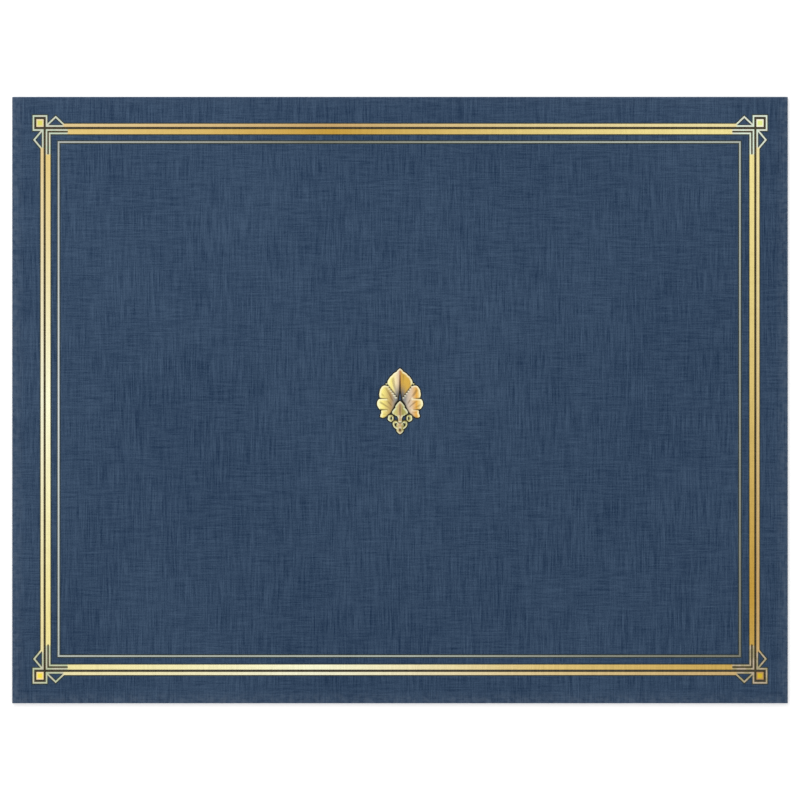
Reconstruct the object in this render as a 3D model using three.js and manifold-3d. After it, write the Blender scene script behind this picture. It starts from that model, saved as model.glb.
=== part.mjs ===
// A landscape diploma cover: one sheet of linen card, scored and folded along its top edge,
// with a stamped foil border and a small foil palmette at the middle of its front panel.
// Millimetres. The folded cover lies on its back panel: +X runs along the fold, +Y points to
// the fold, +Z up. The origin is under the middle of the folded cover, on its bottom face.

import * as THREE from 'three';
import { mergeVertices } from 'three/addons/utils/BufferGeometryUtils.js';
import Module from 'manifold-3d';

const wasm = await Module();
wasm.setup();

// The sheet that the cover holds, the card that stands out round it on each side, and the
// four slits that take its corners
const sheetWidth = 279.4;
const sheetDepth = 215.9;
const marginSide = 12.7;
const marginEnd = 11.25;
const cornerTuck = 30;
const slitSlack = 1.3;
const slitWidth = 0.5;

// The card
const cardThickness = 0.35;
const insideGap = 0.4;
const foldSteps = 16;
const scoreClearance = 0.02;

// The foil die: its outer band's outer edge, and the lines inside it
const foilThickness = 0.06;
const dieMarginSide = 11.2;
const dieMarginEnd = 10.89;
const dieShiftToFold = 0.24;
const outerBandWidth = 1.12;
const lineGap = 0.88;
const thickBandWidth = 1.82;
const thinBar = 0.6;
const innerLineInset = 7;
const innerLineWidth = 0.65;
const innerLineShiftToSide = -0.3;
const innerLineShiftToFold = 0.36;

// The bands and their corner figures: sizes across the cover. Down it they are longer by the
// stretch, apart from the slot's run, which has its own size down the cover.
const stretchDown = 1.07;
const squareSize = 5.75;
const triangleHeight = 2.95;
const triangleHalfBase = 3.3;
const triangleLeg = 0.6;
const slotRunAcross = 8.1;
const slotRunDown = 9.3;

// The palmette: its points below run from its top to its bottom in a frame of their own
const palmetteHeight = 25.8;
const palmetteShiftToFold = -0.5;
const palmetteTop = 12.9;
const palmetteBottom = -12.9;
const veinWidth = 0.3;
const beadCount = 6;
const beadBow = 0.34;
const looseBead = [5.35, 6.75];
const looseBeadWidth = 0.6;
const bowSteps = 5;
const slotEndSteps = 6;

// Sizes worked out from the ones above
const coverWidth = sheetWidth + 2 * marginSide;
const coverDepth = sheetDepth + 2 * marginEnd;
const slitLength = cornerTuck * Math.SQRT2 + 2 * slitSlack;
const foldInside = insideGap / 2;
const foldOutside = foldInside + cardThickness;
const foldLineY = coverDepth / 2 - foldOutside;
const foldLineZ = cardThickness + foldInside;
const frontPanelZ = cardThickness + insideGap;
const foilZ = frontPanelZ + cardThickness;
const dieHalfWidth = coverWidth / 2 - dieMarginSide;
const dieHalfDepth = coverDepth / 2 - dieMarginEnd;
const thickBandInset = outerBandWidth + lineGap;
const squareFarEdge = thickBandInset + thinBar;
const squareOutset = squareSize - squareFarEdge;

const card = new THREE.MeshStandardMaterial({ color: 0x344861, roughness: 0.85 });
const foil = new THREE.MeshStandardMaterial({ color: 0xd9bd77, roughness: 0.3, metalness: 0.9 });
const paleFoil = new THREE.MeshStandardMaterial({ color: 0xdcd8a0, roughness: 0.3, metalness: 0.9 });

const cover = new THREE.Group();

function addPiece(name, geometry, material, x = 0, y = 0, z = 0) {
  const piece = new THREE.Mesh(geometry, material);
  piece.name = name;
  piece.position.set(x, y, z);
  cover.add(piece);
}

function outline(points) {
  return new THREE.Shape(points.map(([x, y]) => new THREE.Vector2(x, y)));
}

function toSolid(geometry) {
  const bare = geometry.clone();
  bare.deleteAttribute('normal');
  bare.deleteAttribute('uv');
  const merged = mergeVertices(bare);
  return new wasm.Manifold(new wasm.Mesh({
    numProp: 3,
    vertProperties: merged.attributes.position.array,
    triVerts: new Uint32Array(merged.index.array),
  }));
}

function toGeometry(solid) {
  const mesh = solid.getMesh();
  const geometry = new THREE.BufferGeometry();
  geometry.setAttribute('position', new THREE.BufferAttribute(mesh.vertProperties, 3));
  geometry.setIndex(new THREE.BufferAttribute(mesh.triVerts, 1));
  geometry.computeVertexNormals();
  return geometry;
}

// A flat piece of the given thickness, with each hole cut right through it
function plate(shape, thickness, holes = []) {
  const blank = new THREE.ExtrudeGeometry(shape, { depth: thickness, bevelEnabled: false });
  if (holes.length === 0) {
    return blank;
  }
  let solid = toSolid(blank);
  for (const hole of holes) {
    const cutter = new THREE.ExtrudeGeometry(hole, { depth: 3 * thickness, bevelEnabled: false });
    cutter.translate(0, 0, -thickness);
    solid = solid.subtract(toSolid(cutter));
  }
  return toGeometry(solid);
}

// A slit with round ends, at its middle (x, y), turned to the angle
function roundedSlit(x, y, angle, length, width) {
  const run = (length - width) / 2;
  const dx = run * Math.cos(angle);
  const dy = run * Math.sin(angle);
  const slit = new THREE.Shape();
  slit.absarc(x + dx, y + dy, width / 2, angle - Math.PI / 2, angle + Math.PI / 2);
  slit.absarc(x - dx, y - dy, width / 2, angle + Math.PI / 2, angle + 3 * Math.PI / 2);
  slit.closePath();
  return slit;
}

// Both panels end at the score, just short of the fold line
function panelShape() {
  const half = coverWidth / 2;
  const front = -coverDepth / 2;
  const score = foldLineY - scoreClearance / 2;
  return outline([[-half, front], [half, front], [half, score], [-half, score]]);
}

// The sheet's corner passes through the slit, which lies across it at 45 degrees
function addBackPanel() {
  const slits = [];
  const slitX = sheetWidth / 2 - cornerTuck / 2;
  const slitY = sheetDepth / 2 - cornerTuck / 2;
  for (const sideX of [-1, 1]) {
    for (const sideY of [-1, 1]) {
      const angle = -sideX * sideY * Math.PI / 4;
      slits.push(roundedSlit(sideX * slitX, sideY * slitY, angle, slitLength, slitWidth));
    }
  }
  addPiece('back_panel', plate(panelShape(), cardThickness, slits), card);
}

// The crease is a half ring about the fold line, with a short flat to each panel
function addFold() {
  const section = new THREE.Shape();
  const flat = scoreClearance / 2;
  section.moveTo(-flat, -foldOutside);
  section.absarc(0, 0, foldOutside, -Math.PI / 2, Math.PI / 2);
  section.lineTo(-flat, foldOutside);
  section.lineTo(-flat, foldInside);
  section.absarc(0, 0, foldInside, Math.PI / 2, -Math.PI / 2, true);
  section.lineTo(-flat, -foldInside);
  section.closePath();
  const geometry = new THREE.ExtrudeGeometry(section, {
    depth: coverWidth,
    bevelEnabled: false,
    curveSegments: foldSteps,
  });
  const sectionAcross = new THREE.Vector3(0, 1, 0);
  const sectionUp = new THREE.Vector3(0, 0, 1);
  const alongFold = new THREE.Vector3(1, 0, 0);
  geometry.applyMatrix4(new THREE.Matrix4().makeBasis(sectionAcross, sectionUp, alongFold));
  addPiece('fold', geometry, card, -coverWidth / 2, foldLineY, foldLineZ);
}

// A point of the border, given by its distances in from the die's side and end edges before
// the stretch, at the corner that the two signs name
function diePoint(sideX, sideY, fromSide, fromEnd) {
  return [sideX * (dieHalfWidth - fromSide), sideY * (dieHalfDepth - stretchDown * fromEnd)];
}

const corners = [
  { name: 'top_left', x: -1, y: 1 },
  { name: 'top_right', x: 1, y: 1 },
  { name: 'bottom_right', x: 1, y: -1 },
  { name: 'bottom_left', x: -1, y: -1 },
];

// One closed line around the border: the same stretch at each corner, running from the side
// to the end of the cover and, at every second corner, back from the end to the side
function cornerRing(stretch) {
  return corners.flatMap(({ x, y }) => {
    const points = stretch.map(([fromSide, fromEnd]) => diePoint(x, y, fromSide, fromEnd));
    return x * y < 0 ? points : points.reverse();
  });
}

function rectangle(fromSide, fromEnd) {
  return outline(cornerRing([[fromSide, fromEnd]]));
}

function swapped(points) {
  return points.map(([a, b]) => [b, a]);
}

// The blue inside of a corner triangle, on the end of the cover: it is bounded by the two legs
// and by the thin bar that is left of the outer band
const triangleMiddle = squareFarEdge + triangleHalfBase;
const triangleSlope = triangleHeight / triangleHalfBase;
const legDrop = triangleLeg * Math.hypot(1, triangleSlope);
const triangleInside = [
  [triangleMiddle - (triangleHeight - legDrop + outerBandWidth - thinBar) / triangleSlope,
    outerBandWidth - thinBar],
  [triangleMiddle, legDrop - triangleHeight],
  [triangleMiddle + (triangleHeight - legDrop + outerBandWidth - thinBar) / triangleSlope,
    outerBandWidth - thinBar],
];

// The outer band, with the open square and the two triangles that it carries at each corner
function addOuterFrame() {
  const squareAndTriangle = [
    [squareFarEdge, -squareOutset],
    [squareFarEdge, 0],
    [triangleMiddle, -triangleHeight],
    [triangleMiddle + triangleHalfBase, 0],
  ];
  const outside = [
    ...swapped(squareAndTriangle).reverse(),
    [-squareOutset, -squareOutset],
    ...squareAndTriangle,
  ];
  const inside = [
    [outerBandWidth, thickBandInset],
    [thinBar - squareOutset, thickBandInset],
    [thinBar - squareOutset, thinBar - squareOutset],
    [thickBandInset, thinBar - squareOutset],
    [thickBandInset, outerBandWidth],
  ];
  const holes = [outline(cornerRing(inside))];
  for (const { x, y } of corners) {
    for (const triangle of [triangleInside, swapped(triangleInside)]) {
      holes.push(outline(triangle.map(([a, b]) => diePoint(x, y, a, b))));
    }
  }
  const frame = plate(outline(cornerRing(outside)), foilThickness, holes);
  addPiece('foil_outer_frame', frame, foil, 0, dieShiftToFold, foilZ);
}

// The thick band, split by a fine slot that turns each corner
function addThickFrame() {
  const slotWidth = thickBandWidth - 2 * thinBar;
  const near = squareFarEdge;
  const far = near + slotWidth;
  const endAcross = near + slotRunAcross - slotWidth / 2;
  const endDown = near + slotRunDown / stretchDown - slotWidth / 2;
  const roundEnd = Array.from(
    { length: slotEndSteps - 1 },
    (_, i) => Math.PI * ((i + 1) / slotEndSteps - 0.5),
  );
  const capAcross = roundEnd.map((angle) => [
    endAcross + slotWidth / 2 * Math.cos(angle),
    near + slotWidth / 2 * (1 + Math.sin(angle)),
  ]);
  const capDown = roundEnd.map((angle) => [
    near + slotWidth / 2 * (1 - Math.sin(angle)),
    endDown + slotWidth / 2 * Math.cos(angle),
  ]);
  const slot = [
    [near, near],
    [endAcross, near],
    ...capAcross,
    [endAcross, far],
    [far, far],
    [far, endDown],
    ...capDown,
    [near, endDown],
  ];
  const slots = corners.map(({ x, y }) => outline(slot.map(([a, b]) => diePoint(x, y, a, b))));
  const outside = rectangle(thickBandInset, thickBandInset);
  const innerEdge = thickBandInset + thickBandWidth;
  const frame = plate(outside, foilThickness, [rectangle(innerEdge, innerEdge), ...slots]);
  addPiece('foil_thick_frame', frame, foil, 0, dieShiftToFold, foilZ);
}

// The fine line has the same inset and width on all sides, and sits a little off the middle
function addInnerLine() {
  const innerEdge = innerLineInset + innerLineWidth;
  const outside = rectangle(innerLineInset, innerLineInset / stretchDown);
  const inside = rectangle(innerEdge, innerEdge / stretchDown);
  const line = plate(outside, foilThickness, [inside]);
  addPiece('foil_inner_line', line, paleFoil, innerLineShiftToSide, innerLineShiftToFold, foilZ);
}

// The filled square inside each open one, with the line gap all round it
function addCornerSquares() {
  const low = thinBar + lineGap - squareOutset;
  const high = outerBandWidth;
  const square = [[low, low], [high, low], [high, high], [low, high]];
  for (const { name, x, y } of corners) {
    const shape = outline(square.map(([a, b]) => diePoint(x, y, a, b)));
    addPiece(`corner_square_${name}`, plate(shape, foilThickness), foil, 0, dieShiftToFold, foilZ);
  }
}

// An outline whose edges bow: each vertex is [x, y, bow], and bow is how far the edge to the
// next vertex swells to the left of its run
function bowed(vertices, closed) {
  const points = [];
  const edges = closed ? vertices.length : vertices.length - 1;
  for (let i = 0; i < edges; i += 1) {
    const [x0, y0, bow = 0] = vertices[i];
    const [x1, y1] = vertices[(i + 1) % vertices.length];
    const run = Math.hypot(x1 - x0, y1 - y0);
    const controlX = (x0 + x1) / 2 - 2 * bow * (y1 - y0) / run;
    const controlY = (y0 + y1) / 2 + 2 * bow * (x1 - x0) / run;
    const steps = bow === 0 ? 1 : bowSteps;
    for (let step = 0; step < steps; step += 1) {
      const t = step / steps;
      points.push([
        (1 - t) ** 2 * x0 + 2 * t * (1 - t) * controlX + t ** 2 * x1,
        (1 - t) ** 2 * y0 + 2 * t * (1 - t) * controlY + t ** 2 * y1,
      ]);
    }
  }
  if (!closed) {
    points.push(vertices.at(-1).slice(0, 2));
  }
  return points;
}

// A row of equal scallops from one point to another, as vertices of a bowed outline
function scallops([x0, y0], [x1, y1], count, bow) {
  return Array.from({ length: count }, (_, i) => [
    x0 + (x1 - x0) * i / count,
    y0 + (y1 - y0) * i / count,
    bow,
  ]);
}

function mirrored(points) {
  return points.map(([x, y]) => [-x, y]).reverse();
}

// A piece that is the same on both sides of the palmette's axis: its right half, from the top
// point on the axis to the bottom one, and the mirror image of that half
function symmetric(rightHalf) {
  const right = bowed(rightHalf, false);
  return [...right, ...mirrored(right).slice(1, -1)];
}

function addPalmettePiece(name, points, holes = []) {
  const scale = palmetteHeight / (palmetteTop - palmetteBottom);
  const geometry = plate(outline(points), foilThickness, holes.map(outline));
  geometry.scale(scale, scale, 1);
  addPiece(`ornament_${name}`, geometry, paleFoil, 0, palmetteShiftToFold, foilZ);
}

function addPalmettePair(name, vertices, holes = []) {
  const right = bowed(vertices, true);
  const rightHoles = holes.map((hole) => bowed(hole, true));
  addPalmettePiece(`${name}_right`, right, rightHoles);
  addPalmettePiece(`${name}_left`, mirrored(right), rightHoles.map(mirrored));
}

// The spearhead leaf at the top: four scallops down each side, straight lower edges, and a
// vein that opens downwards into the heart of the palmette
function addTopLeaf() {
  addPalmettePiece('top_leaf', symmetric([
    [0, palmetteTop, 0.15],
    [1.35, 11.55, 0.2],
    [3.1, 10.15, 0.15],
    [4.2, 8.95, 0.15],
    [4.9, 7.4, 0.15],
    [4.75, 6.5, 0],
    [0.8, 1.35, 0],
    [veinWidth, 4.2, 0],
    [0, 10.2, 0],
  ]));
}

// The leaf at each side has three scalloped lobes, parted by two fine notches that run in from
// its rim. Its upper edge is a row of beads that almost touch the top leaf.
function addSideLeaves() {
  addPalmettePair('side_leaf', [
    [4.9, 5.95, 0.1],
    [6.2, 6.15, 0.2],
    [7.4, 5.2, 0.15],
    [7.95, 3.6, 0.15],
    [8.0, 2.0, 0.25],
    [7.3, 1.15, 0],
    [5.0, 0.95, 0],
    [8.2, 0.85, 0.2],
    [9.0, -0.7, 0.2],
    [8.5, -2.4, 0.3],
    [7.2, -3.2, 0],
    [5.0, -3.4, 0],
    [7.2, -3.55, 0.15],
    [7.3, -4.7, 0.15],
    [7.75, -6.1, 0.25],
    [6.0, -6.3, 0.1],
    [4.7, -5.2, 0.1],
    [3.55, -4.15, 0],
    [2.55, -2.3, 0],
    [2.0, -0.9, 0],
    [0.95, 0.45, 0],
    ...scallops([0.9, 0.75], [4.9, 5.95], beadCount, beadBow),
  ]);
}

// The small leaf in front of the heart, with two round side lobes, a centre vein, and a stem
// that ends in a round knob
function addHeartLeaf() {
  addPalmettePiece('heart_leaf', symmetric([
    [0, 0.1, 0.1],
    [1.5, -1.5, 0.15],
    [1.8, -2.6, 0.1],
    [3.05, -4.1, 0.35],
    [2.2, -5.25, 0.1],
    [1.1, -5.85, 0],
    [0.7, -6.8, 0],
    [0.75, -7.8, 0.25],
    [0, -8.3, 0],
  ]), [symmetric([[0, -1.4, 0], [veinWidth / 3, -3.4, 0], [0, -5.6, 0]])]);
}

// A curl at each side of the stem: an oval ring that is thickest at its outer side
function addScrolls() {
  addPalmettePair('scroll', [
    [2.6, -5.9, 0.2],
    [3.8, -5.35, 0.35],
    [4.75, -6.5, 0.35],
    [4.1, -7.8, 0.3],
    [3.0, -7.75, 0.2],
    [2.5, -7.0, 0.1],
  ], [[
    [3.15, -6.05, 0.1],
    [3.75, -6.6, 0.1],
    [3.5, -7.35, 0.1],
    [3.05, -6.9, 0],
  ]]);
}

// The bud that hangs below: two round cheeks, cut through by a curl each, and a drop
function addPendant() {
  const curl = bowed([
    [1.0, -8.9, 0.15],
    [1.75, -8.6, 0.15],
    [2.1, -9.3, 0.2],
    [1.4, -9.9, 0.1],
    [1.5, -9.2, 0],
  ], true);
  const drop = symmetric([[0, -10.5, 0.08], [0.3, -11.2, 0.08], [0, -11.9, 0]]);
  addPalmettePiece('pendant', symmetric([
    [0, -8.6, 0],
    [0.85, -8.2, 0.05],
    [1.2, -7.75, 0.1],
    [2.2, -7.7, 0.25],
    [2.85, -9.0, 0.25],
    [1.8, -10.65, 0.05],
    [1.3, -10.95, 0.15],
    [1.2, -11.9, 0.1],
    [0, palmetteBottom, 0],
  ]), [curl, mirrored(curl), drop]);
}

// A loose round bead beside the lowest corner of the top leaf
function addBeads() {
  const [x, y] = looseBead;
  const radius = looseBeadWidth / 2;
  const bow = radius * (1 - Math.SQRT1_2);
  addPalmettePair('bead', [
    [x - radius, y, bow],
    [x, y + radius, bow],
    [x + radius, y, bow],
    [x, y - radius, bow],
  ]);
}

addBackPanel();
addPiece('front_panel', plate(panelShape(), cardThickness), card, 0, 0, frontPanelZ);
addFold();
addOuterFrame();
addThickFrame();
addInnerLine();
addCornerSquares();
addTopLeaf();
addSideLeaves();
addHeartLeaf();
addScrolls();
addPendant();
addBeads();

export default cover;
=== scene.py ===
"""Looks of the diploma cover: one folded sheet of linen card, a stamped foil border and a foil palmette.

Everything is in metres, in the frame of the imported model. Sizes on the card are read from the frame's nodes.
"""

import math

import bmesh
import bpy
import numpy as np
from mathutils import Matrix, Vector
from mathutils.geometry import delaunay_2d_cdt


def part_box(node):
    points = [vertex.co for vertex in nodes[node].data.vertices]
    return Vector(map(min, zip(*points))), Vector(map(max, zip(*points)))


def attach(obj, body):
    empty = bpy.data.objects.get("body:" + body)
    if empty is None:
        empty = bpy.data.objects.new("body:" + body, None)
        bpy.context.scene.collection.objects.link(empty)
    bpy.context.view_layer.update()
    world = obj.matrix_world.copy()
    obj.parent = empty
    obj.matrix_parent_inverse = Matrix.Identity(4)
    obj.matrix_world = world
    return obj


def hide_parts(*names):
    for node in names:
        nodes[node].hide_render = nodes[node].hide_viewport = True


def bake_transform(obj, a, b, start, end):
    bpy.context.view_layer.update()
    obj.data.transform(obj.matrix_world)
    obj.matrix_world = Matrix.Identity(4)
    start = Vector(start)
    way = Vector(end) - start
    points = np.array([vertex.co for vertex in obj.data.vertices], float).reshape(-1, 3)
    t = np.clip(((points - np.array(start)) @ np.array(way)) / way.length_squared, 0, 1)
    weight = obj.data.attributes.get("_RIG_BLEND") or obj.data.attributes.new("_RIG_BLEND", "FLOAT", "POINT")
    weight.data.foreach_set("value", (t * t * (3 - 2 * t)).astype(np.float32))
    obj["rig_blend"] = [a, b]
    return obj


MM = 0.001

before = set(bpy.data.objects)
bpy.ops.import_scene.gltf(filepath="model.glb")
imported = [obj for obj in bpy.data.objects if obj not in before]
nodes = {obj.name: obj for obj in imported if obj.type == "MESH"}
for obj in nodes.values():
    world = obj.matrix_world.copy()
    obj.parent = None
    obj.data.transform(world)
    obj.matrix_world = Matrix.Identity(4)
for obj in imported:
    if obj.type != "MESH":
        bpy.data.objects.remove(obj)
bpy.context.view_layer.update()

# The card's sizes, from its three nodes
back_low, back_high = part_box("back_panel")
front_low, front_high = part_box("front_panel")
fold_low, fold_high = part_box("fold")
CARD = back_high.z - back_low.z
FOLD_RADIUS = (fold_high.z - fold_low.z) / 2
FOLD_Y = fold_high.y - FOLD_RADIUS
FOLD_Z = fold_low.z + FOLD_RADIUS
MIDDLE_RADIUS = FOLD_RADIUS - CARD / 2
PANEL = FOLD_Y - back_low.y
CREASE = math.pi * MIDDLE_RADIUS
WIDTH = back_high.x - back_low.x
CARD_TOP = front_high.z
FOIL_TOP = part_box("foil_thick_frame")[1].z

# The sheet's mesh and its die-cut edges
CELL = 5 * MM
CREASE_CELLS = 14
EDGE_ROUND = 0.07 * MM

# The card's colours, dyed, embossed and rubbed, and the depth of its emboss
CARD_DARK = (24, 48, 76)
CARD_LIGHT = (67, 89, 115)
CARD_RUBBED = (92, 108, 128)
CARD_SPECULAR = 0.15
EMBOSS_DEPTH = 0.06 * MM

# The painted shade round the foil: a dark strip on the card that stands in for the shade along the hot die's
# pressed-in edge
SHADE_LINE_WIDTH = 0.43 * MM
SHADE_LINE_RISE = 0.006 * MM
PLAIN_SHADE_LINE = ((34, 42, 40), (62, 70, 66))
GAP_SHADE_LINE = ((48, 40, 20), (84, 74, 48))
PALMETTE_SHADE_LINE = ((20, 18, 8), (48, 44, 30))

# The palmette's relief
RELIEF_STEP = 0.24 * MM
RELIEF_HEIGHT = 0.05 * MM
RELIEF_RIM = 0.5 * MM
HEART = Vector((0.0, -6.0 * MM))
FLUTES_A_RADIAN = 24.0

# The camera looks straight down, and this width of the card's plane fills the picture
VIEW_WIDTH = 314.4 * MM
SENSOR = 36.0
LENS = 100.0

# The studio: a white floor just under the cover, white surroundings and one soft window
FLOOR_DROP = 0.05 * MM
FLOOR_GLOW = 0.35
WORLD_LIGHT = 0.7
WINDOW_PLACE = (-0.35, 0.75, 0.55)
WINDOW_SIZE = 0.4
WINDOW_POWER = 3.2


def srgb(red, green, blue):
    """A colour given as eight-bit display values, as the linear colour that nodes take."""
    def linear(value):
        value /= 255
        return value / 12.92 if value <= 0.04045 else ((value + 0.055) / 1.055) ** 2.4
    return (linear(red), linear(green), linear(blue), 1.0)


def connect(tree, value, socket):
    if isinstance(value, bpy.types.NodeSocket):
        tree.links.new(value, socket)
    else:
        socket.default_value = value


def add(tree, kind, inputs, **settings):
    """A new node with its settings, and its inputs given as values or as other nodes' outputs."""
    node = tree.nodes.new(kind)
    for key, value in settings.items():
        setattr(node, key, value)
    for key, value in inputs.items():
        connect(tree, value, node.inputs[key])
    return node


def math_of(tree, operation, a, b=0.0, clamp=False):
    return add(tree, "ShaderNodeMath", {0: a, 1: b}, operation=operation, use_clamp=clamp).outputs[0]


def mix_of(tree, factor, a, b):
    node = add(tree, "ShaderNodeMix", {"Factor": factor}, data_type="RGBA")
    connect(tree, a, node.inputs[6])
    connect(tree, b, node.inputs[7])
    return node.outputs[2]


def stretched(tree, place, scale):
    return add(tree, "ShaderNodeVectorMath", {0: place, 1: scale}, operation="MULTIPLY").outputs[0]


def noise_of(tree, place, scale, detail=2.0, roughness=0.5):
    """Noise between 0 and 1, with its own scale, in cycles a millimetre, along each axis of the place."""
    vector = stretched(tree, place, scale)
    inputs = {"Vector": vector, "Scale": 1.0, "Detail": detail, "Roughness": roughness}
    return add(tree, "ShaderNodeTexNoise", inputs).outputs["Fac"]


def range_of(tree, value, low, high, to_low=0.0, to_high=1.0):
    inputs = {"Value": value, "From Min": low, "From Max": high, "To Min": to_low, "To Max": to_high}
    return add(tree, "ShaderNodeMapRange", inputs, interpolation_type="SMOOTHSTEP").outputs[0]


def range_of_line(tree, value, low, high):
    return add(tree, "ShaderNodeMapRange", {"Value": value, "From Min": low, "From Max": high}).outputs[0]


def scaled(tree, colour, level):
    return add(tree, "ShaderNodeVectorMath", {0: colour, "Scale": level}, operation="SCALE").outputs[0]


def ramp_of(tree, factor, stops):
    node = add(tree, "ShaderNodeValToRGB", {"Fac": factor})
    ramp = node.color_ramp
    while len(ramp.elements) < len(stops):
        ramp.elements.new(0.5)
    for element, (place, colour) in zip(ramp.elements, stops):
        element.position = place
        element.color = srgb(*colour)
    return node.outputs["Color"]


def new_material(name):
    material = bpy.data.materials.new(name)
    material.use_nodes = True
    tree = material.node_tree
    return material, tree, tree.nodes["Principled BSDF"]


def place_in_mm(tree):
    """A point of the object in millimetres, in its own frame, so that it moves with the cover."""
    place = add(tree, "ShaderNodeTexCoord", {}).outputs["Object"]
    return stretched(tree, place, (1 / MM, 1 / MM, 1 / MM))


def parts_of(tree, vector):
    return add(tree, "ShaderNodeSeparateXYZ", {0: vector}).outputs


def linen(tree, place):
    """The embossed cloth pattern of the card: its tone and its height, both around 0.5.

    place is in millimetres. Threads run up and down and across, with some thicker slubs among them. In some
    patches the ones that run up and down stand out, and in others the ones that run across.
    """
    patch = range_of(tree, noise_of(tree, place, (0.06, 0.06, 1)), 0.38, 0.62, 0.6, 1.2)
    other_patch = math_of(tree, "SUBTRACT", 1.8, patch)
    layers = (
        (noise_of(tree, place, (2.2, 0.09, 1), 2.0, 0.6), 1.55, patch),
        (noise_of(tree, place, (0.12, 2.1, 1), 2.0, 0.6), 1.1, other_patch),
        (noise_of(tree, place, (0.9, 0.04, 1), 1.0, 0.5), 0.3, patch),
        (noise_of(tree, place, (0.05, 0.9, 1), 1.0, 0.5), 0.2, other_patch),
        (noise_of(tree, place, (2.4, 2.2, 1), 1.0, 0.5), 0.85, 1.0),
    )
    height = 0.5
    for layer, weight, where in layers:
        swing = math_of(tree, "MULTIPLY", math_of(tree, "SUBTRACT", layer, 0.5), weight)
        height = math_of(tree, "ADD", height, math_of(tree, "MULTIPLY", swing, where))
    cloud = math_of(tree, "SUBTRACT", noise_of(tree, place, (0.014, 0.01, 1), 3.0, 0.6), 0.5)
    tone = math_of(tree, "ADD", height, math_of(tree, "MULTIPLY", cloud, 0.6), clamp=True)
    return tone, height


def card_material():
    """Blue card, dyed through, with a linen emboss, and a little paler where its edges are rubbed."""
    material, tree, shader = new_material("linen_card_look")
    place = add(tree, "ShaderNodeAttribute", {}, attribute_name="flat").outputs["Vector"]
    rub = add(tree, "ShaderNodeAttribute", {}, attribute_name="rub").outputs["Fac"]
    tone, height = linen(tree, place)
    colour = mix_of(tree, tone, srgb(*CARD_DARK), srgb(*CARD_LIGHT))
    patchy = noise_of(tree, place, (0.5, 0.5, 1), 3.0, 0.6)
    rubbed = math_of(tree, "MULTIPLY", rub, range_of(tree, patchy, 0.4, 0.65, 0.1, 0.6))
    colour = mix_of(tree, rubbed, colour, srgb(*CARD_RUBBED))
    connect(tree, colour, shader.inputs["Base Color"])
    rough = range_of(tree, height, 0.2, 0.8, 0.78, 0.66)
    connect(tree, rough, shader.inputs["Roughness"])
    shader.inputs["Specular IOR Level"].default_value = CARD_SPECULAR
    inputs = {"Height": height, "Strength": 0.35, "Distance": EMBOSS_DEPTH}
    bump = add(tree, "ShaderNodeBump", inputs)
    connect(tree, bump.outputs["Normal"], shader.inputs["Normal"])
    return material


def folded(x, along, out):
    """A point of the flat sheet on the folded one.

    along runs from the back panel's free edge, below zero, over the crease at zero, to the front panel's
    free edge. out is the height above the middle of the card.
    """
    radius = MIDDLE_RADIUS + out
    past = abs(along) - CREASE / 2
    if past <= 0:
        angle = along / MIDDLE_RADIUS
        return Vector((x, FOLD_Y + radius * math.cos(angle), FOLD_Z + radius * math.sin(angle)))
    side = math.copysign(1.0, along)
    return Vector((x, FOLD_Y - past, FOLD_Z + side * radius))


def steps(low, high, cell):
    return list(np.linspace(low, high, max(2, round((high - low) / cell) + 1)))


def flat_sheet():
    """The sheet before it is folded: a closed slab of cells, finer at the crease."""
    columns = steps(-WIDTH / 2, WIDTH / 2, CELL)
    end = CREASE / 2 + PANEL
    rows = steps(-end, -CREASE / 2, CELL) + steps(-CREASE / 2, CREASE / 2, CREASE / CREASE_CELLS)[1:]
    rows += steps(CREASE / 2, end, CELL)[1:]
    mesh = bmesh.new()
    grid = [[mesh.verts.new((x, along, CARD / 2)) for x in columns] for along in rows]
    for low, high in zip(grid, grid[1:]):
        for a, b, c, d in zip(low, low[1:], high[1:], high):
            mesh.faces.new((a, b, c, d))
    top = list(mesh.faces)
    lower = bmesh.ops.duplicate(mesh, geom=top)["geom"]
    for item in lower:
        if isinstance(item, bmesh.types.BMVert):
            item.co.z = -CARD / 2
    bmesh.ops.reverse_faces(mesh, faces=[item for item in lower if isinstance(item, bmesh.types.BMFace)])
    rim = [edge for edge in mesh.edges if edge.is_boundary]
    bmesh.ops.bridge_loops(mesh, edges=rim)
    bmesh.ops.recalc_face_normals(mesh, faces=mesh.faces)
    return mesh


def slit_cutters():
    """One block for each of the back panel's slits, where the node's own slits are."""
    blocks = bmesh.new()
    for x, y, angle, length, width in slits_of_node():
        block = bmesh.ops.create_cube(blocks, size=1)["verts"]
        along = -(FOLD_Y - y) - CREASE / 2
        for vert in block:
            run, across = vert.co.x * length, vert.co.y * width
            vert.co.x = x + run * math.cos(angle) - across * math.sin(angle)
            vert.co.y = along + run * math.sin(angle) + across * math.cos(angle)
            vert.co.z *= 4 * CARD
    return blocks


def outlines(node):
    """The closed outlines of a flat node's top face, as lists of points with the solid on their left."""
    mesh = nodes[node].data
    top = max(vert.co.z for vert in mesh.vertices)
    ahead = {}
    points = {}

    def key(index):
        co = mesh.vertices[index].co
        name = (round(co.x * 1e7), round(co.y * 1e7))
        points[name] = Vector((co.x, co.y))
        return name

    edges = set()
    for face in mesh.polygons:
        corners = list(face.vertices)
        if face.normal.z > 0.9 and all(mesh.vertices[i].co.z > top - 1e-6 for i in corners):
            names = [key(i) for i in corners]
            edges.update(zip(names, names[1:] + names[:1]))
    for a, b in edges:
        if (b, a) not in edges:
            ahead[a] = b
    loops = []
    while ahead:
        start = min(ahead)
        loop = [start]
        following = ahead.pop(start)
        while following != start:
            loop.append(following)
            following = ahead.pop(following)
        loops.append([points[name] for name in loop])
    return loops


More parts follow.
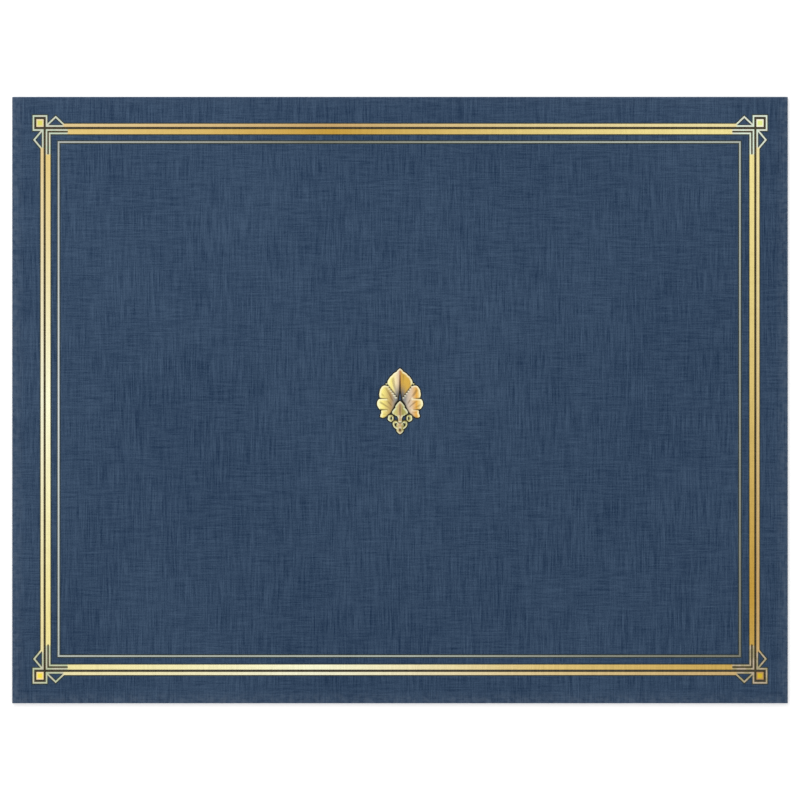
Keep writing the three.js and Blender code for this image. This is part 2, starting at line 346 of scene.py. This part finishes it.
def slits_of_node():
    """Middle, angle, length and width of each slit, measured on the back panel's outlines."""
    found = []
    for loop in outlines("back_panel"):
        middle = sum(loop, Vector((0, 0))) / len(loop)
        reach = max((point - middle for point in loop), key=lambda v: v.length)
        if reach.length < WIDTH / 4:
            across = max(abs((point - middle).cross(reach.normalized())) for point in loop)
            found.append((middle.x, middle.y, math.atan2(reach.y, reach.x), 2 * reach.length, 2 * across))
    return found


def object_of(name, mesh):
    if isinstance(mesh, bmesh.types.BMesh):
        data = bpy.data.meshes.new(name)
        mesh.to_mesh(data)
        mesh.free()
    else:
        data = mesh
    piece = bpy.data.objects.new(name, data)
    bpy.context.scene.collection.objects.link(piece)
    return piece


def applied(piece):
    """The piece's mesh with its modifiers in it."""
    bpy.context.view_layer.update()
    graph = bpy.context.evaluated_depsgraph_get()
    return bpy.data.meshes.new_from_object(piece.evaluated_get(graph))


def make_card():
    blank = object_of("blank_sheet", flat_sheet())
    cutters = object_of("slit_blocks", slit_cutters())
    cut = blank.modifiers.new("slits", "BOOLEAN")
    cut.object = cutters
    cut.operation = "DIFFERENCE"
    cut.solver = "EXACT"
    round_edges = blank.modifiers.new("edges", "BEVEL")
    round_edges.width = EDGE_ROUND
    round_edges.segments = 2
    round_edges.limit_method = "ANGLE"
    round_edges.angle_limit = math.radians(60)
    mesh = applied(blank)
    bpy.data.objects.remove(blank)
    bpy.data.objects.remove(cutters)
    mesh.name = "linen_card"
    mesh.attributes.new("flat", "FLOAT_VECTOR", "POINT")
    mesh.attributes.new("rub", "FLOAT", "POINT")
    flat = mesh.attributes["flat"]
    rub = mesh.attributes["rub"]
    end = CREASE / 2 + PANEL
    for vert in mesh.vertices:
        x, along, out = vert.co
        flat.data[vert.index].vector = Vector((x, along, out)) / MM
        rim = min(WIDTH / 2 - abs(x), end - abs(along))
        at_rim = max(0.0, 1 - rim / (4 * EDGE_ROUND))
        at_crease = max(0.0, 1 - abs(along) / (0.6 * CREASE)) if out > 0 else 0.0
        rub.data[vert.index].value = max(at_rim, at_crease)
        vert.co = folded(x, along, out)
    mesh.shade_smooth()
    mesh.set_sharp_from_angle(angle=math.radians(40))
    piece = object_of("linen_card", mesh)
    piece.data.materials.append(card_material())
    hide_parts("back_panel", "front_panel", "fold")
    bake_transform(piece, "back", "front", start=(0, FOLD_Y, CARD), end=(0, FOLD_Y, front_low.z))


# The tones of the gold foil, and of the greyer inner line, lighter and darker by a painted sheen
GOLD_BRIGHT = (250, 249, 214)
GOLD_LIGHT = (240, 226, 154)
GOLD_MIDDLE = (222, 195, 124)
GOLD_DEEP = (194, 153, 62)
LINE_BRIGHT = (208, 214, 212)
LINE_MIDDLE = (174, 182, 172)
LINE_DULL = (128, 128, 114)
# Each painted sheen turns once round the cover, from the middle of the left side by way of the bottom.
BORDER_PAINTED_SHEEN = (
    (0.0, GOLD_BRIGHT),
    (0.09, GOLD_LIGHT),
    (0.2, GOLD_BRIGHT),
    (0.33, GOLD_MIDDLE),
    (0.42, GOLD_DEEP),
    (0.6, GOLD_LIGHT),
    (0.79, GOLD_DEEP),
    (0.9, GOLD_MIDDLE),
    (1.0, GOLD_BRIGHT),
)
LINE_PAINTED_SHEEN = (
    (0.0, LINE_BRIGHT),
    (0.13, LINE_MIDDLE),
    (0.25, LINE_MIDDLE),
    (0.4, LINE_DULL),
    (0.62, LINE_MIDDLE),
    (0.8, LINE_DULL),
    (1.0, LINE_BRIGHT),
)
OUTER_TINT = (214, 204, 206)
OUTER_TINT_SHARE = 0.17
# The thin bars of the corner figures, at the left and the right, with a painted sheen that is brighter at the
# top right and duller at the bottom right, and the rosy patches in them
BARS_SHEEN_TOP = ((190, 206, 182), (216, 232, 212))
BARS_SHEEN_BOTTOM = ((190, 200, 166), (168, 158, 120))
ROSY = (222, 200, 192)
ROSY_SHARE = 0.35
# How far the bars reach in from the thick frame's edges, in millimetres, along the cover and down it
OUTER_FRAME_REACH = (6.9, 7.2)
THICK_FRAME_REACH = (8.6, 9.9)
# The middle and the rim of each corner square, in tones that follow the border's painted sheen from corner to
# corner; the paler or duller rims are painted sheen too
CORNER_SHEEN_COLOURS = {
    "corner_square_top_left": ((214, 210, 96), (232, 214, 176)),
    "corner_square_top_right": ((226, 236, 140), (248, 244, 222)),
    "corner_square_bottom_left": ((246, 224, 70), (250, 224, 172)),
    "corner_square_bottom_right": ((210, 180, 40), (184, 146, 96)),
}


def foil_bump(tree, shader, place, strength):
    """The linen shows faintly through the foil."""
    height = linen(tree, place)[1]
    inputs = {"Height": height, "Strength": strength, "Distance": 0.05 * MM}
    bump = add(tree, "ShaderNodeBump", inputs)
    connect(tree, bump.outputs["Normal"], shader.inputs["Normal"])
    return height


def finish_foil(tree, shader, height):
    rough = range_of(tree, height, 0.2, 0.8, 0.46, 0.34)
    connect(tree, rough, shader.inputs["Roughness"])
    shader.inputs["Metallic"].default_value = 0.9


def bars_colour_with_sheen(tree, place, x, y):
    """The colour of the corner figures' thin bars at the corner that a place is nearest to, with the painted
    sheen of that corner.
    """
    to_right = range_of(tree, x, -1, 1)
    to_top = range_of(tree, y, -1, 1)
    top = mix_of(tree, to_right, srgb(*BARS_SHEEN_TOP[0]), srgb(*BARS_SHEEN_TOP[1]))
    bottom = mix_of(tree, to_right, srgb(*BARS_SHEEN_BOTTOM[0]), srgb(*BARS_SHEEN_BOTTOM[1]))
    bars = mix_of(tree, to_top, bottom, top)
    patchy = range_of(tree, noise_of(tree, place, (0.45, 0.45, 1), 2.0, 0.5), 0.4, 0.6)
    return mix_of(tree, math_of(tree, "MULTIPLY", patchy, ROSY_SHARE), bars, srgb(*ROSY))


def border_material(name, stops, reach=None, tint_share=0.0):
    """Foil whose painted sheen turns round the cover by the stops, with a share of the outer frame's tint.

    The thin bars of the corner figures have their own colours, with a painted sheen that differs by corner, as
    far as they reach in.
    """
    material, tree, shader = new_material(name)
    place = place_in_mm(tree)
    x, y, _ = parts_of(tree, place)
    turn = add(tree, "ShaderNodeTexGradient", {"Vector": place}, gradient_type="RADIAL").outputs["Fac"]
    # Painted sheen: the foil's tone by its turn round the cover
    colour = ramp_of(tree, turn, stops)
    if tint_share:
        colour = mix_of(tree, tint_share, colour, srgb(*OUTER_TINT))
    if reach:
        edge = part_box("foil_thick_frame")[1] / MM
        side = edge.x - reach[0]
        end = edge.y - reach[1]
        near_side = range_of(tree, math_of(tree, "ABSOLUTE", x), side - 0.5, side + 0.5)
        near_end = range_of(tree, math_of(tree, "ABSOLUTE", y), end - 0.5, end + 0.5)
        corner = math_of(tree, "MULTIPLY", near_side, near_end)
        colour = mix_of(tree, corner, colour, bars_colour_with_sheen(tree, place, x, y))
    height = foil_bump(tree, shader, place, 0.12)
    grain = range_of(tree, height, 0.2, 0.8, 0.93, 1.04)
    connect(tree, scaled(tree, colour, grain), shader.inputs["Base Color"])
    finish_foil(tree, shader, height)
    return material


def square_material(node, colour, rim):
    """A square of foil, bright in its middle and paler or duller round its rim, as a painted sheen."""
    material, tree, shader = new_material(f"{node}_look")
    place = place_in_mm(tree)
    height = foil_bump(tree, shader, place, 0.15)
    low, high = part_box(node)
    centre = (low + high) / (2 * MM)
    x, y, _ = parts_of(tree, place)
    across = math_of(tree, "ABSOLUTE", math_of(tree, "SUBTRACT", x, centre.x))
    down = math_of(tree, "ABSOLUTE", math_of(tree, "SUBTRACT", y, centre.y))
    share = range_of(tree, math_of(tree, "MAXIMUM", across, down), 0.55, 1.35)
    connect(tree, mix_of(tree, share, srgb(*colour), srgb(*rim)), shader.inputs["Base Color"])
    finish_foil(tree, shader, height)
    return material


def dress(node, material):
    data = nodes[node].data
    data.materials.clear()
    data.materials.append(material)


def dress_border():
    outer = border_material("outer_frame_look", BORDER_PAINTED_SHEEN, OUTER_FRAME_REACH, OUTER_TINT_SHARE)
    dress("foil_outer_frame", outer)
    dress("foil_thick_frame", border_material("thick_frame_look", BORDER_PAINTED_SHEEN, THICK_FRAME_REACH))
    dress("foil_inner_line", border_material("inner_line_look", LINE_PAINTED_SHEEN))
    for node, (colour, rim) in CORNER_SHEEN_COLOURS.items():
        dress(node, square_material(node, colour, rim))


def shade_line_material(name, dark, light):
    """The card beside the foil, darkened as painted shade along the hot die's pressed-in edge."""
    material, tree, shader = new_material(name)
    place = place_in_mm(tree)
    tone, height = linen(tree, place)
    connect(tree, mix_of(tree, tone, srgb(*dark), srgb(*light)), shader.inputs["Base Color"])
    shader.inputs["Specular IOR Level"].default_value = CARD_SPECULAR
    connect(tree, range_of(tree, height, 0.2, 0.8, 0.7, 0.6), shader.inputs["Roughness"])
    return material


def offset_loop(loop, width):
    """The loop moved to its right by the width, with its corners mitred."""
    moved = []
    for i, point in enumerate(loop):
        into = (point - loop[i - 1]).normalized()
        out = (loop[(i + 1) % len(loop)] - point).normalized()
        normals = [Vector((run.y, -run.x)) for run in (into, out)]
        middle = normals[0] + normals[1]
        middle = middle.normalized() if middle.length > 1e-3 else normals[0]
        moved.append(point + middle * width / max(0.5, middle.dot(normals[0])))
    return moved


def area_of(loop):
    return abs(sum(a.cross(b) for a, b in zip(loop, loop[1:] + loop[:1]))) / 2


def sorted_border_loops():
    """The border's outlines in two lists: those in its narrow gaps and slots, and the open ones."""
    outer_rim, outer_hole, *triangles = sorted(outlines("foil_outer_frame"), key=area_of, reverse=True)
    thick_rim, thick_hole, *slots = sorted(outlines("foil_thick_frame"), key=area_of, reverse=True)
    squares = [loop for node in CORNER_SHEEN_COLOURS for loop in outlines(node)]
    in_gaps = [outer_hole, thick_rim, *slots, *squares]
    in_the_open = [outer_rim, *triangles, thick_hole, *outlines("foil_inner_line")]
    return in_gaps, in_the_open


# Dark strips on the card just outside each loop: painted shade along the foil's edges.
def make_shade_lines(name, loops, material):
    mesh = bmesh.new()
    for loop in loops:
        outside = offset_loop(loop, SHADE_LINE_WIDTH)
        inner = [mesh.verts.new((p.x, p.y, CARD_TOP + 4 * SHADE_LINE_RISE)) for p in loop]
        outer = [mesh.verts.new((p.x, p.y, CARD_TOP + SHADE_LINE_RISE)) for p in outside]
        for i in range(len(loop)):
            j = (i + 1) % len(loop)
            mesh.faces.new((inner[j], inner[i], outer[i], outer[j]))
    piece = object_of(name, mesh)
    piece.data.materials.append(material)
    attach(piece, "front")


def distances(points, loops):
    """Each point's distance to the nearest outline, the outward direction there, and if it is inside."""
    near = np.full(len(points), np.inf)
    outward = np.zeros((len(points), 2))
    inside = np.zeros(len(points), bool)
    for loop in loops:
        ends = np.array(loop)
        for a, b in zip(ends, np.roll(ends, -1, axis=0)):
            run = b - a
            share = np.clip(((points - a) @ run) / (run @ run), 0, 1)
            gap = np.linalg.norm(points - a - share[:, None] * run, axis=1)
            outward[gap < near] = np.array((run[1], -run[0])) / np.linalg.norm(run)
            near = np.minimum(near, gap)
            crosses = (a[1] > points[:, 1]) != (b[1] > points[:, 1])
            rise = np.where(abs(b[1] - a[1]) < 1e-12, 1e-12, b[1] - a[1])
            at = a[0] + (points[:, 1] - a[1]) / rise * (b[0] - a[0])
            inside ^= crosses & (points[:, 0] < at)
    return near, outward, inside


def relief_mesh(node):
    """The node's flat shape as a raised leaf: it swells from its rim, and its veins are pressed in."""
    loops = outlines(node)
    low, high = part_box(node)
    columns = np.arange(low.x, high.x, RELIEF_STEP)
    rows = np.arange(low.y, high.y, RELIEF_STEP * math.sqrt(0.75))
    shifts = [RELIEF_STEP / 2 * (j % 2) for j in range(len(rows))]
    inner = np.array([(x + shift, y) for shift, y in zip(shifts, rows) for x in columns])
    near, _, inside = distances(inner, loops)
    inner = inner[inside & (near > 0.45 * RELIEF_STEP)]
    verts = [point for loop in loops for point in loop]
    edges = []
    for loop in loops:
        first = len(edges)
        edges += [(first + i, first + (i + 1) % len(loop)) for i in range(len(loop))]
    verts += [Vector(point) for point in inner]
    found = delaunay_2d_cdt(verts, edges, [], 0, 1e-9)
    flat, faces = found[0], found[2]
    places = np.array([tuple(point) for point in flat])
    near, outward, _ = distances(places, loops)
    middles = np.array([places[list(face)].mean(axis=0) for face in faces])
    keep = distances(middles, loops)[2]
    lift = np.clip(near / RELIEF_RIM, 0, 1)
    lift = lift * lift * (3 - 2 * lift)
    # How much each rim faces away from the heart: the mask for the painted highlight and painted shade on the
    # rims
    from_heart = places - np.array(HEART)
    faces_out = (outward * from_heart).sum(axis=1) / np.linalg.norm(from_heart, axis=1)
    turn = np.arctan2(from_heart[:, 0], from_heart[:, 1])
    flute = 0.5 + 0.5 * np.cos(turn * FLUTES_A_RADIAN)
    height = FOIL_TOP - 0.3 * RELIEF_HEIGHT + RELIEF_HEIGHT * lift * (0.55 + 0.45 * flute)
    mesh = bmesh.new()
    mesh.verts.layers.float.new("rim")
    mesh.verts.layers.float.new("faces_out")
    rim_layer = mesh.verts.layers.float["rim"]
    out_layer = mesh.verts.layers.float["faces_out"]
    top = []
    for (x, y), z, distance, out in zip(places, height, near, faces_out):
        vert = mesh.verts.new((x, y, z))
        vert[rim_layer] = distance / MM
        vert[out_layer] = max(0.0, out)
        top.append(vert)
    for face, kept in zip(faces, keep):
        if kept:
            mesh.faces.new([top[i] for i in face])
    bmesh.ops.delete(mesh, geom=[vert for vert in mesh.verts if not vert.link_faces], context="VERTS")
    rim = [edge for edge in mesh.edges if edge.is_boundary]
    skirt = bmesh.ops.extrude_edge_only(mesh, edges=rim)["geom"]
    for item in skirt:
        if isinstance(item, bmesh.types.BMVert):
            item.co.z = CARD_TOP
    foot = [edge for edge in mesh.edges if edge.is_boundary]
    bmesh.ops.triangle_fill(mesh, edges=foot, use_beauty=True)
    bmesh.ops.recalc_face_normals(mesh, faces=mesh.faces)
    return mesh


# The palmette's leaf tones with their painted sheen, the painted shade of its flutes, its grey middle and the
# painted shade of rims that don't face outward.
# Each painted sheen runs across the palmette, from the left to the right.
LEAF_BRIGHT = (252, 249, 188)
LEAF_YELLOW = (250, 236, 138)
LEAF_CREAM = (248, 232, 182)
LEAF_ROSE = (222, 198, 168)
LEAF_VEIN = (186, 120, 76)
LEAF_GOLD = (216, 174, 76)
LEAF_BROWN = (182, 150, 98)
LEAF_GREY = (176, 172, 164)
LEAF_ORANGE = (228, 170, 66)
FLUTE_PAINTED_SHADE = (124, 100, 62)
FADE_GREY = (88, 98, 110)
RIM_PAINTED_SHADE = (112, 96, 58)
TOP_LEAF_PAINTED_SHEEN = (
    (0.0, LEAF_BRIGHT),
    (0.16, LEAF_YELLOW),
    (0.32, LEAF_CREAM),
    (0.45, LEAF_ROSE),
    (0.5, LEAF_VEIN),
    (0.57, LEAF_GOLD),
    (0.88, LEAF_GOLD),
    (1.0, LEAF_BRIGHT),
)
SIDE_LEAF_PAINTED_SHEEN = (
    (0.0, LEAF_BRIGHT),
    (0.12, LEAF_YELLOW),
    (0.3, LEAF_BROWN),
    (0.42, LEAF_GREY),
    (0.6, LEAF_GREY),
    (0.74, LEAF_ROSE),
    (0.86, LEAF_ORANGE),
    (1.0, LEAF_BRIGHT),
)
SMALL_LEAF_PAINTED_SHEEN = (
    (0.0, (214, 214, 156)),
    (0.35, (204, 194, 118)),
    (0.5, (206, 166, 128)),
    (0.6, (164, 156, 84)),
    (1.0, (208, 204, 132)),
)


def palmette_material(name, sheen, half_width, flutes, fade, highlight_share, highlight_colour):
    """Foil with a painted sheen from left to right and painted shade in the flutes that fan out from the
    heart.

    Its rim has a painted highlight where it faces outward and painted shade where it doesn't, and its middle
    fades to grey.
    """
    material, tree, shader = new_material(name)
    place = place_in_mm(tree)
    x, y, _ = parts_of(tree, place)
    rim = add(tree, "ShaderNodeAttribute", {}, attribute_name="rim").outputs["Fac"]
    colour = ramp_of(tree, range_of_line(tree, x, -half_width, half_width), sheen)
    # Painted shade in the flutes that fan out from the heart, away from the rim
    turn = math_of(tree, "ARCTAN2", x, math_of(tree, "SUBTRACT", y, HEART.y / MM))
    wave = math_of(tree, "SINE", math_of(tree, "MULTIPLY", turn, FLUTES_A_RADIAN))
    flute = math_of(tree, "MULTIPLY", range_of(tree, wave, 0.1, 1.0), flutes)
    inland = range_of(tree, rim, 0.35, 1.6)
    colour = mix_of(tree, math_of(tree, "MULTIPLY", flute, inland), colour, srgb(*FLUTE_PAINTED_SHADE))
    middle = range_of(tree, math_of(tree, "ABSOLUTE", x), 0.8, 3.4, 1.0, 0.0)
    low = range_of(tree, y, 1.0, 7.5, 1.0, 0.0)
    grey = math_of(tree, "MULTIPLY", math_of(tree, "MULTIPLY", middle, low), fade)
    colour = mix_of(tree, grey, colour, srgb(*FADE_GREY))
    # A painted highlight on rims that face outward, and painted shade on rims that face in
    faces_out = add(tree, "ShaderNodeAttribute", {}, attribute_name="faces_out").outputs["Fac"]
    painted_highlight = math_of(tree, "MULTIPLY", range_of(tree, rim, 0.2, 0.9, 1.0, 0.0), faces_out)
    colour = mix_of(tree, math_of(tree, "MULTIPLY", painted_highlight, highlight_share), colour, srgb(*highlight_colour))
    at_rim = range_of(tree, rim, 0.1, 0.5, 0.5, 0.0)
    faces_in = range_of(tree, faces_out, 0.0, 0.4, 1.0, 0.0)
    colour = mix_of(tree, math_of(tree, "MULTIPLY", at_rim, faces_in), colour, srgb(*RIM_PAINTED_SHADE))
    connect(tree, colour, shader.inputs["Base Color"])
    height = foil_bump(tree, shader, place, 0.1)
    finish_foil(tree, shader, height)
    return material


def make_palmette():
    # Each look's last two values are the share and the colour of the painted highlight on its outward rims.
    top = palmette_material("top_leaf_look", TOP_LEAF_PAINTED_SHEEN, 5.0, 0.45, 1.0, 0.8, (252, 250, 218))
    side = palmette_material("side_leaf_look", SIDE_LEAF_PAINTED_SHEEN, 9.0, 0.55, 0.7, 0.8, (250, 248, 212))
    small = palmette_material("small_leaf_look", SMALL_LEAF_PAINTED_SHEEN, 4.8, 0.3, 0.0, 0.85, (228, 232, 198))
    looks = {"ornament_top_leaf": top, "ornament_side_leaf_left": side, "ornament_side_leaf_right": side}
    members = sorted(node for node in nodes if node.startswith("ornament_"))
    for node in members:
        piece = object_of(node.replace("ornament", "palmette"), relief_mesh(node))
        piece.data.shade_smooth()
        piece.data.set_sharp_from_angle(angle=math.radians(60))
        piece.data.materials.append(looks.get(node, small))
        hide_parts(node)
        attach(piece, "front")
    return members


def seen_directly(tree):
    """1 for what the camera sees, a mirror shows or glass lets through, and 0 for the light it gives."""
    path = add(tree, "ShaderNodeLightPath", {}).outputs
    seen = math_of(tree, "MAXIMUM", path["Is Camera Ray"], path["Is Glossy Ray"])
    return math_of(tree, "MAXIMUM", seen, path["Is Transmission Ray"])


def make_floor():
    """A white floor that keeps the cover's shadow and is white in the picture."""
    material, tree, shader = new_material("floor_look")
    shader.inputs["Base Color"].default_value = (0.9, 0.9, 0.9, 1)
    shader.inputs["Roughness"].default_value = 0.9
    shader.inputs["Emission Color"].default_value = (1, 1, 1, 1)
    glow = math_of(tree, "MULTIPLY", seen_directly(tree), FLOOR_GLOW)
    connect(tree, glow, shader.inputs["Emission Strength"])
    mesh = bmesh.new()
    bmesh.ops.create_grid(mesh, x_segments=1, y_segments=1, size=3.0)
    floor = object_of("floor", mesh)
    floor.location.z = -FLOOR_DROP
    floor.data.materials.append(material)


def make_world():
    world = bpy.data.worlds.new("studio")
    world.use_nodes = True
    tree = world.node_tree
    extra = math_of(tree, "MULTIPLY", seen_directly(tree), 1.0 - WORLD_LIGHT)
    strength = math_of(tree, "ADD", extra, WORLD_LIGHT)
    background = tree.nodes["Background"]
    background.inputs["Color"].default_value = (1, 1, 1, 1)
    connect(tree, strength, background.inputs["Strength"])
    bpy.context.scene.world = world


def make_window():
    light = bpy.data.lights.new("window", "AREA")
    light.shape = "DISK"
    light.size = WINDOW_SIZE
    light.energy = WINDOW_POWER
    lamp = bpy.data.objects.new("window", light)
    lamp.location = WINDOW_PLACE
    lamp.rotation_euler = (-Vector(WINDOW_PLACE)).to_track_quat("-Z", "Y").to_euler()
    bpy.context.scene.collection.objects.link(lamp)


def make_camera():
    data = bpy.data.cameras.new("camera")
    data.sensor_width = SENSOR
    data.lens = LENS
    camera = bpy.data.objects.new("camera", data)
    camera.location = (0, 0, CARD_TOP + VIEW_WIDTH * LENS / SENSOR)
    bpy.context.scene.collection.objects.link(camera)
    bpy.context.scene.camera = camera


bpy.context.scene.view_settings.view_transform = "Standard"
make_camera()
make_world()
make_floor()
make_window()
make_card()
dress_border()
palmette_nodes = make_palmette()
# Painted shade round the foil and the palmette: browner in the border's narrow gaps, darkest round the
# palmette.
plain_shade = shade_line_material("painted_shade_card_look", *PLAIN_SHADE_LINE)
gap_shade = shade_line_material("painted_shade_gap_look", *GAP_SHADE_LINE)
gap_loops, open_loops = sorted_border_loops()
make_shade_lines("gap_shade_lines", gap_loops, gap_shade)
make_shade_lines("border_shade_lines", open_loops, plain_shade)
palmette_shade = shade_line_material("painted_shade_palmette_look", *PALMETTE_SHADE_LINE)
palmette_loops = [loop for node in palmette_nodes for loop in outlines(node)]
make_shade_lines("palmette_shade_lines", palmette_loops, palmette_shade)
